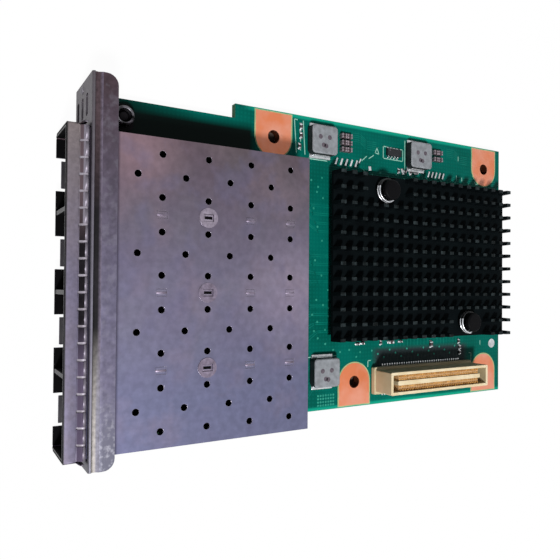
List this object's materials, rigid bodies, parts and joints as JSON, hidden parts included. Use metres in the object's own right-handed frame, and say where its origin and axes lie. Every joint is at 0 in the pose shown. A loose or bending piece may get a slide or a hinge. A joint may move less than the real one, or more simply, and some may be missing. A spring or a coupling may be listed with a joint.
{
  "type": "mezzanine network card",
  "caption": "Stepped circuit board with a bent steel faceplate, a cage for pluggable optical modules, a pin-fin heat sink and a board-to-board connector.",
  "frame": {"origin": "centre of the underside of the card's bounding box; the card lies with its component side up", "axes": "+Z from the board's underside to its component side; -Y out of the ports, +Y towards the board's rear edge; +X to the right as the ports are looked at from in front"},
  "size_m": [0.0712, 0.12, 0.0136],
  "materials": {
    "circuit_board": "teal-green solder mask over glass-epoxy laminate, satin",
    "plated_steel": "nickel-plated steel, satin",
    "cage_sheet": "nickel-silver sheet, lightly stained satin",
    "spring_steel": "bright spring steel",
    "black_plastic": "black moulded plastic",
    "black_anodised": "black anodised aluminium, matte",
    "chip_package": "moulded epoxy",
    "thermal_pad": "soft grey silicone",
    "cream_plastic": "cream liquid-crystal polymer",
    "moulded_ferrite": "grey moulded powder",
    "ceramic": "fired ceramic"
  },
  "bodies": {
    "root": {"pcb": "circuit_board", "faceplate": "plated_steel", "bezel_nut": "plated_steel", "bezel_screw": "plated_steel", "cage_cover": "cage_sheet", "cage_base": "cage_sheet", "cage_divider_1": "cage_sheet", "cage_divider_2": "cage_sheet", "cage_divider_3": "cage_sheet", "emi_collar": "spring_steel", "port_connector_1": "black_plastic", "port_connector_2": "black_plastic", "port_connector_3": "black_plastic", "port_connector_4": "black_plastic", "heatsink": "black_anodised", "controller_chip": "chip_package", "thermal_pad": "thermal_pad", "push_pin_front": "black_plastic", "push_pin_rear": "black_plastic", "push_pin_spring_front": "spring_steel", "push_pin_spring_rear": "spring_steel", "mezzanine_connector": "cream_plastic", "inductor_1": "moulded_ferrite", "inductor_2": "moulded_ferrite", "inductor_3": "moulded_ferrite", "capacitor_1": "ceramic", "capacitor_2": "ceramic", "capacitor_3": "ceramic", "capacitor_4": "ceramic", "capacitor_5": "ceramic", "flash_chip": "chip_package"}
  },
  "joints": []
}
